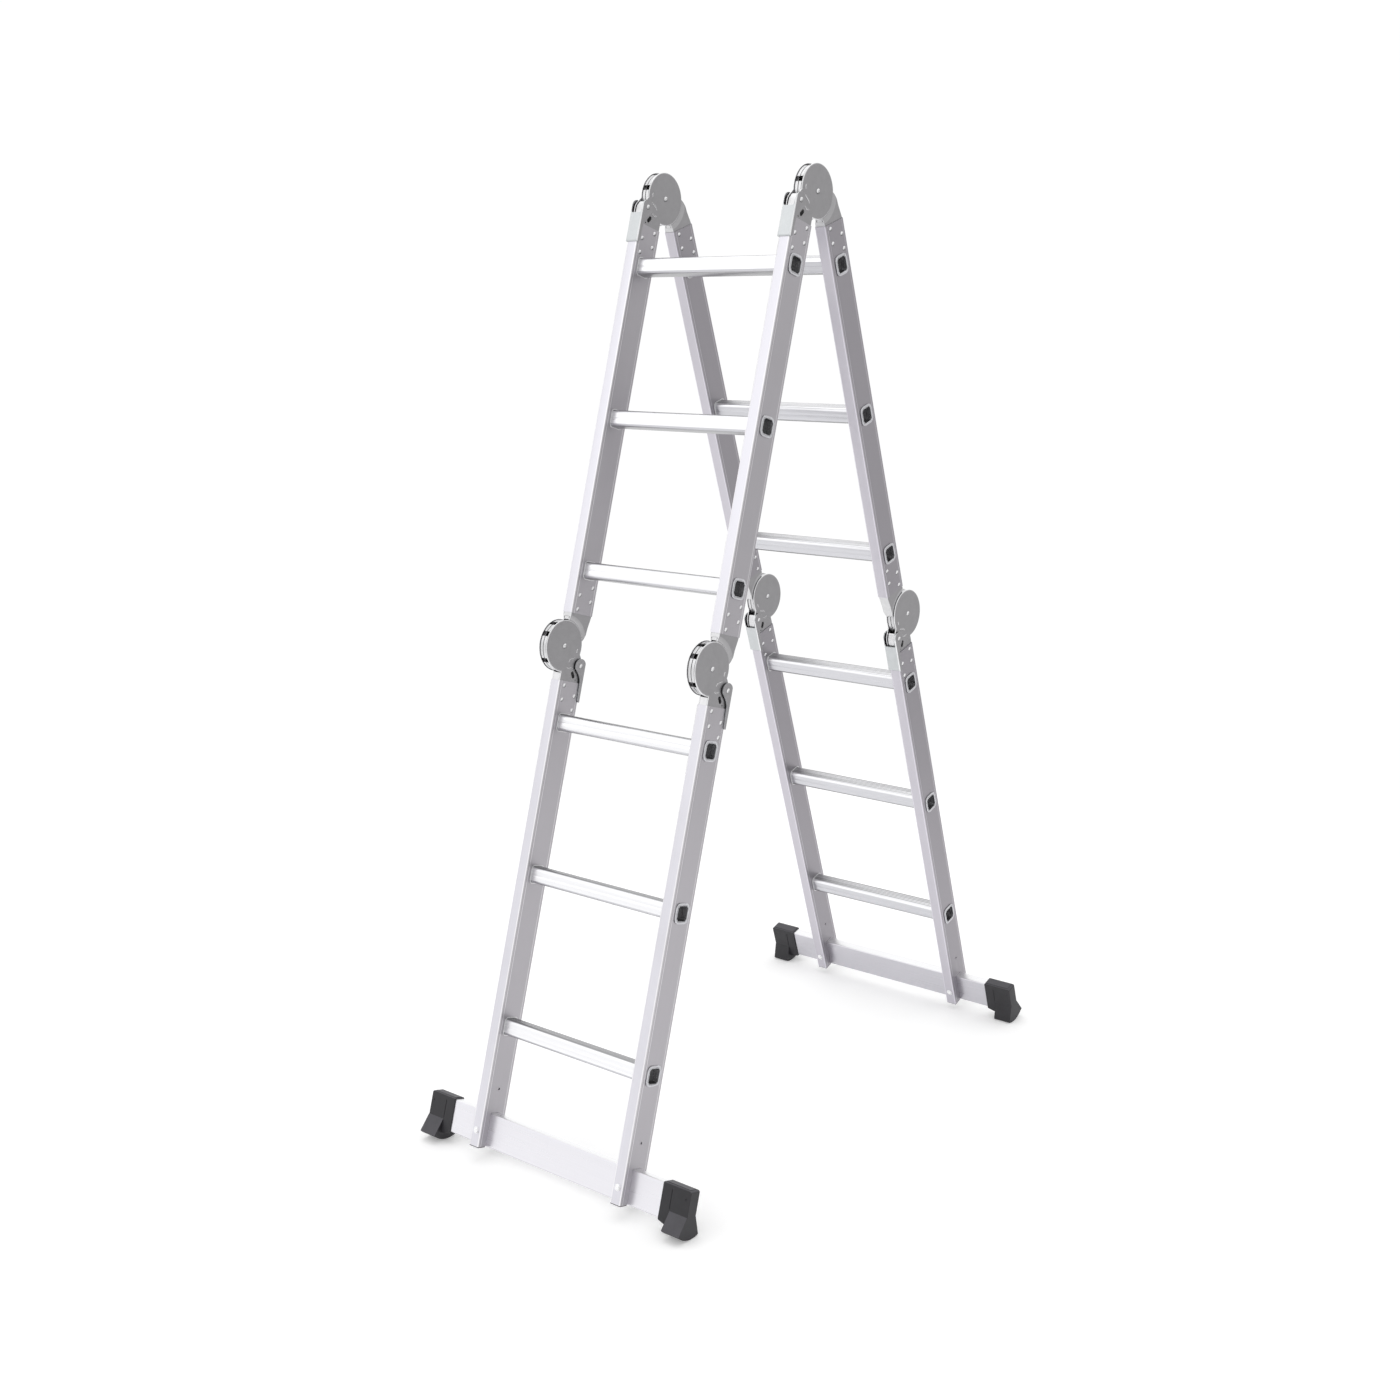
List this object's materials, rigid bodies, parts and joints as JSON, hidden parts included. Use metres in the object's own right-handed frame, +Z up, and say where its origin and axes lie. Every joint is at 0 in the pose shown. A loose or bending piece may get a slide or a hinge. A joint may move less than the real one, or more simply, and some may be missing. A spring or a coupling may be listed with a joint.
{
  "type": "multi position ladder",
  "caption": "Hinged folding aluminium ladder standing as a stepladder, with locking hinges, stabilizer bars and rubber-shod feet.",
  "frame": {"origin": "on the floor, midway between the four feet, under the top hinges' axis", "axes": "+Z up, +X across the ladder to the right as seen from the front, -Y towards the front leg"},
  "size_m": [0.62, 1.1628, 1.7388],
  "materials": {
    "stile": "satin extruded aluminium",
    "rung": "satin extruded aluminium",
    "stabilizer": "satin extruded aluminium",
    "hinge_plate": "satin zinc plated pressed steel",
    "lever": "zinc plated folded steel sheet",
    "fastener": "bright zinc plated steel",
    "foot": "moulded charcoal black plastic"
  },
  "bodies": {
    "front_upper": {"front_upper_stile_left": "stile", "front_upper_stile_right": "stile", "front_upper_rung_1": "rung", "front_upper_rung_2": "rung", "front_upper_rung_3": "rung", "front_mid_hinge_left_index_bracket": "hinge_plate", "front_mid_hinge_right_index_bracket": "hinge_plate", "top_hinge_left_cover_bracket": "hinge_plate", "top_hinge_left_rivet": "fastener", "top_hinge_right_cover_bracket": "hinge_plate", "top_hinge_right_rivet": "fastener"},
    "front_lower": {"front_lower_stile_left": "stile", "front_lower_stile_right": "stile", "front_lower_rung_1": "rung", "front_lower_rung_2": "rung", "front_lower_rung_3": "rung", "front_stabilizer_bar": "stabilizer", "front_foot_left": "foot", "front_stabilizer_bolt_left": "fastener", "front_mid_hinge_left_cover_bracket": "hinge_plate", "front_mid_hinge_left_rivet": "fastener", "front_foot_right": "foot", "front_stabilizer_bolt_right": "fastener", "front_mid_hinge_right_cover_bracket": "hinge_plate", "front_mid_hinge_right_rivet": "fastener"},
    "rear_upper": {"rear_upper_stile_left": "stile", "rear_upper_stile_right": "stile", "rear_upper_rung_1": "rung", "rear_upper_rung_2": "rung", "rear_upper_rung_3": "rung", "rear_mid_hinge_left_index_bracket": "hinge_plate", "rear_mid_hinge_right_index_bracket": "hinge_plate", "top_hinge_left_index_bracket": "hinge_plate", "top_hinge_right_index_bracket": "hinge_plate"},
    "rear_lower": {"rear_lower_stile_left": "stile", "rear_lower_stile_right": "stile", "rear_lower_rung_1": "rung", "rear_lower_rung_2": "rung", "rear_lower_rung_3": "rung", "rear_stabilizer_bar": "stabilizer", "rear_foot_left": "foot", "rear_stabilizer_bolt_left": "fastener", "rear_mid_hinge_left_cover_bracket": "hinge_plate", "rear_mid_hinge_left_rivet": "fastener", "rear_foot_right": "foot", "rear_stabilizer_bolt_right": "fastener", "rear_mid_hinge_right_cover_bracket": "hinge_plate", "rear_mid_hinge_right_rivet": "fastener"},
    "top_hinge_left_lever": {"top_hinge_left_lever": "lever"},
    "top_hinge_left_lock_bolt": {"top_hinge_left_lock_bolt": "fastener"},
    "top_hinge_right_lever": {"top_hinge_right_lever": "lever"},
    "top_hinge_right_lock_bolt": {"top_hinge_right_lock_bolt": "fastener"},
    "front_mid_hinge_left_lever": {"front_mid_hinge_left_lever": "lever"},
    "front_mid_hinge_left_lock_bolt": {"front_mid_hinge_left_lock_bolt": "fastener"},
    "front_mid_hinge_right_lever": {"front_mid_hinge_right_lever": "lever"},
    "front_mid_hinge_right_lock_bolt": {"front_mid_hinge_right_lock_bolt": "fastener"},
    "rear_mid_hinge_left_lever": {"rear_mid_hinge_left_lever": "lever"},
    "rear_mid_hinge_left_lock_bolt": {"rear_mid_hinge_left_lock_bolt": "fastener"},
    "rear_mid_hinge_right_lever": {"rear_mid_hinge_right_lever": "lever"},
    "rear_mid_hinge_right_lock_bolt": {"rear_mid_hinge_right_lock_bolt": "fastener"}
  },
  "joints": [
    {"name": "top_hinge", "type": "hinge", "parent": "front_upper", "child": "rear_upper", "pos_m": [0, 0, 1.69152], "axis": [-1, 0, 0], "range_deg": [-145.4, 33]},
    {"name": "front_mid_hinge", "type": "hinge", "parent": "front_upper", "child": "front_lower", "pos_m": [0, -0.30784, 0.9076], "axis": [-1, 0, 0], "range_deg": [0, 178]},
    {"name": "rear_mid_hinge", "type": "hinge", "parent": "rear_upper", "child": "rear_lower", "pos_m": [0, 0.30784, 0.9076], "axis": [1, 0, 0], "range_deg": [0, 178]},
    {"name": "top_hinge_left_lever_pull", "type": "hinge", "parent": "front_upper", "child": "top_hinge_left_lever", "pos_m": [-0.17, -0.05505, 1.6762], "axis": [-1, 0, 0], "range_deg": [0, 15], "stiffness_Nm_per_rad": 2, "springref_deg": -8.59},
    {"name": "top_hinge_left_lock_bolt_slide", "type": "slide", "parent": "front_upper", "child": "top_hinge_left_lock_bolt", "axis": [0, -0.7944, -0.6074], "range_m": [0, 0.006]},
    {"name": "top_hinge_right_lever_pull", "type": "hinge", "parent": "front_upper", "child": "top_hinge_right_lever", "pos_m": [0.17, -0.05505, 1.6762], "axis": [-1, 0, 0], "range_deg": [0, 15], "stiffness_Nm_per_rad": 2, "springref_deg": -8.59},
    {"name": "top_hinge_right_lock_bolt_slide", "type": "slide", "parent": "front_upper", "child": "top_hinge_right_lock_bolt", "axis": [0, -0.7944, -0.6074], "range_m": [0, 0.006]},
    {"name": "front_mid_hinge_left_lever_pull", "type": "hinge", "parent": "front_lower", "child": "front_mid_hinge_left_lever", "pos_m": [-0.17, -0.27123, 0.86373], "axis": [1, 0, 0], "range_deg": [0, 15], "stiffness_Nm_per_rad": 2, "springref_deg": -8.59},
    {"name": "front_mid_hinge_left_lock_bolt_slide", "type": "slide", "parent": "front_lower", "child": "front_mid_hinge_left_lock_bolt", "axis": [0, 0.309, -0.9511], "range_m": [0, 0.006]},
    {"name": "front_mid_hinge_right_lever_pull", "type": "hinge", "parent": "front_lower", "child": "front_mid_hinge_right_lever", "pos_m": [0.17, -0.27123, 0.86373], "axis": [1, 0, 0], "range_deg": [0, 15], "stiffness_Nm_per_rad": 2, "springref_deg": -8.59},
    {"name": "front_mid_hinge_right_lock_bolt_slide", "type": "slide", "parent": "front_lower", "child": "front_mid_hinge_right_lock_bolt", "axis": [0, 0.309, -0.9511], "range_m": [0, 0.006]},
    {"name": "rear_mid_hinge_left_lever_pull", "type": "hinge", "parent": "rear_lower", "child": "rear_mid_hinge_left_lever", "pos_m": [-0.17, 0.27123, 0.86373], "axis": [-1, 0, 0], "range_deg": [0, 15], "stiffness_Nm_per_rad": 2, "springref_deg": -8.59},
    {"name": "rear_mid_hinge_left_lock_bolt_slide", "type": "slide", "parent": "rear_lower", "child": "rear_mid_hinge_left_lock_bolt", "axis": [0, -0.309, -0.9511], "range_m": [0, 0.006]},
    {"name": "rear_mid_hinge_right_lever_pull", "type": "hinge", "parent": "rear_lower", "child": "rear_mid_hinge_right_lever", "pos_m": [0.17, 0.27123, 0.86373], "axis": [-1, 0, 0], "range_deg": [0, 15], "stiffness_Nm_per_rad": 2, "springref_deg": -8.59},
    {"name": "rear_mid_hinge_right_lock_bolt_slide", "type": "slide", "parent": "rear_lower", "child": "rear_mid_hinge_right_lock_bolt", "axis": [0, -0.309, -0.9511], "range_m": [0, 0.006]}
  ],
  "couplings": [
    {"joint": "top_hinge_left_lock_bolt_slide", "follows": "top_hinge_left_lever_pull", "m_per_rad": 0.0225},
    {"joint": "top_hinge_right_lock_bolt_slide", "follows": "top_hinge_right_lever_pull", "m_per_rad": 0.0225},
    {"joint": "front_mid_hinge_left_lock_bolt_slide", "follows": "front_mid_hinge_left_lever_pull", "m_per_rad": 0.0225},
    {"joint": "front_mid_hinge_right_lock_bolt_slide", "follows": "front_mid_hinge_right_lever_pull", "m_per_rad": 0.0225},
    {"joint": "rear_mid_hinge_left_lock_bolt_slide", "follows": "rear_mid_hinge_left_lever_pull", "m_per_rad": 0.0225},
    {"joint": "rear_mid_hinge_right_lock_bolt_slide", "follows": "rear_mid_hinge_right_lever_pull", "m_per_rad": 0.0225}
  ]
}
